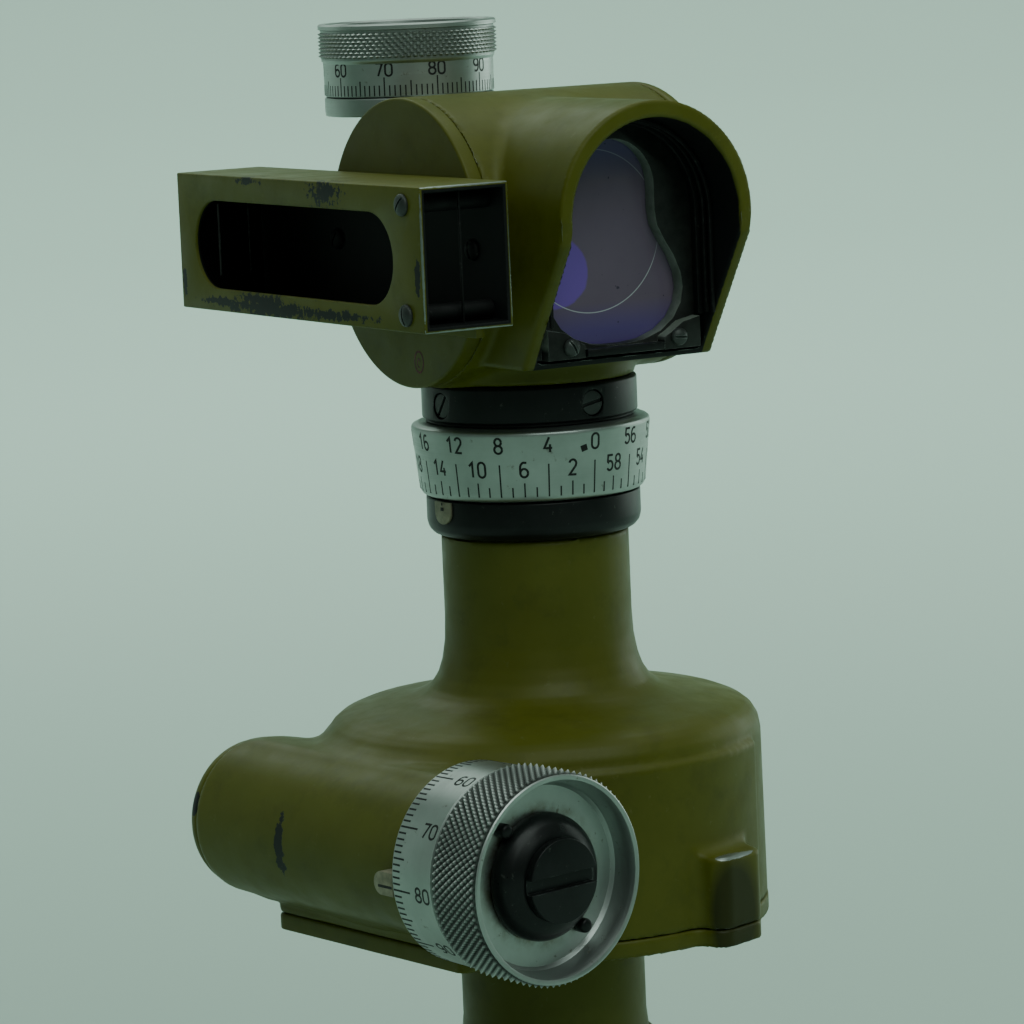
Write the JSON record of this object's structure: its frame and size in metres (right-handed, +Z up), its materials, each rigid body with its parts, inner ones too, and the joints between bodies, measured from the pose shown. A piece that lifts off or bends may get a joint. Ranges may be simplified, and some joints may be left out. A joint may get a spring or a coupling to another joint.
{
  "type": "panoramic prism telescope",
  "caption": "Panoramic prism telescope with a hooded turning head, collimating sight box, graduated azimuth ring, worm drums and an eyepiece elbow.",
  "frame": {"origin": "on the azimuth axis, in the plane of the flat foot under the eyepiece elbow", "axes": "+Z up along the azimuth axis, -Y towards the observer (the eyepiece side), +X the observer's right; at rest the line of sight is 7.2 degrees clockwise from +X seen from above"},
  "size_m": [0.1112, 0.1151, 0.2446],
  "materials": {
    "olive_paint": "semi-gloss olive enamel, chipped on the edges",
    "satin_scale_metal": "satin chromed, engraved black scales, knurled grips",
    "black_metal": "semi-matt black, rubbed bright on edges",
    "machined_steel": "turned, bright",
    "gear_brass": "machined",
    "optical_glass": "polished, clear",
    "coated_glass": "polished, violet coating",
    "cream_lacquer": "aged cream index plates with dark marks",
    "black_rubber": "matt moulded rubber"
  },
  "bodies": {
    "column": {"main_housing": "olive_paint", "base_cover": "olive_paint", "tail_tube": "olive_paint", "objective_cell": "black_metal", "objective_lens": "optical_glass", "eyepiece_elbow": "olive_paint", "elbow_bottom_cover": "olive_paint", "roof_prism": "optical_glass", "eyepiece_barrel": "black_metal", "reticle": "optical_glass", "field_lens": "optical_glass", "eye_lens": "optical_glass", "eyecup": "black_rubber", "lower_index_ring": "black_metal", "index_plate": "cream_lacquer", "worm_end_cap": "olive_paint", "outer_bushing": "gear_brass", "drum_index_tab": "cream_lacquer"},
    "azimuth_drive": {"azimuth_worm": "machined_steel", "azimuth_drum": "satin_scale_metal", "drum_collar": "black_metal", "drum_screw": "black_metal", "drum_pin_1": "black_metal", "drum_pin_2": "black_metal"},
    "turning_head": {"worm_wheel": "gear_brass", "rotor_tube": "machined_steel", "azimuth_ring": "satin_scale_metal", "clamp_ring": "black_metal", "clamp_screw_1": "black_metal", "clamp_screw_2": "black_metal", "clamp_screw_3": "black_metal", "clamp_screw_4": "black_metal", "head_housing": "olive_paint", "left_cover": "olive_paint", "right_cover": "olive_paint", "window_hood": "olive_paint", "window_glass": "coated_glass", "window_frame": "black_metal", "frame_bar": "black_metal", "frame_screw_1": "black_metal", "frame_screw_2": "black_metal", "sight_mount_plate": "olive_paint", "sight_box": "olive_paint", "rear_sight_plate": "black_metal", "front_sight_blade": "black_metal", "sight_spacer_1": "black_metal", "sight_spacer_2": "black_metal", "sight_screw_1": "black_metal", "sight_screw_2": "black_metal", "sight_fixing_screw_1": "black_metal", "sight_fixing_screw_2": "black_metal", "reflector_index_ring": "satin_scale_metal"},
    "erecting_prism": {"dove_cage": "gear_brass", "dove_prism": "optical_glass"},
    "reflector": {"head_prism": "optical_glass", "prism_carrier": "black_metal", "tilt_sector": "gear_brass"},
    "reflector_drive": {"tilt_worm": "machined_steel", "reflector_drum": "satin_scale_metal", "reflector_drum_nut": "black_metal"}
  },
  "joints": [
    {"name": "head_azimuth", "type": "hinge", "parent": "column", "child": "turning_head", "pos_m": [0, 0, 0.1552], "axis": [0, 0, 1], "continuous": true},
    {"name": "azimuth_drum_spin", "type": "hinge", "parent": "column", "child": "azimuth_drive", "pos_m": [0, -0.041, 0.0998], "axis": [1, 0, 0], "continuous": true},
    {"name": "erecting_prism_spin", "type": "hinge", "parent": "column", "child": "erecting_prism", "pos_m": [0, 0, 0.134], "axis": [0, 0, 1], "continuous": true},
    {"name": "reflector_tilt", "type": "hinge", "parent": "turning_head", "child": "reflector", "pos_m": [0, 0, 0.206], "axis": [-0.1253, -0.9921, 0], "range_deg": [-9, 9]},
    {"name": "reflector_drum_spin", "type": "hinge", "parent": "turning_head", "child": "reflector_drive", "pos_m": [-0.03983, 0.00629, 0.206], "axis": [0, 0, 1], "range_deg": [-1080, 1080]}
  ],
  "couplings": [
    {"joint": "azimuth_drum_spin", "follows": "head_azimuth", "ratio": -60},
    {"joint": "erecting_prism_spin", "follows": "head_azimuth", "ratio": 0.5},
    {"joint": "reflector_drum_spin", "follows": "reflector_tilt", "ratio": 120}
  ]
}
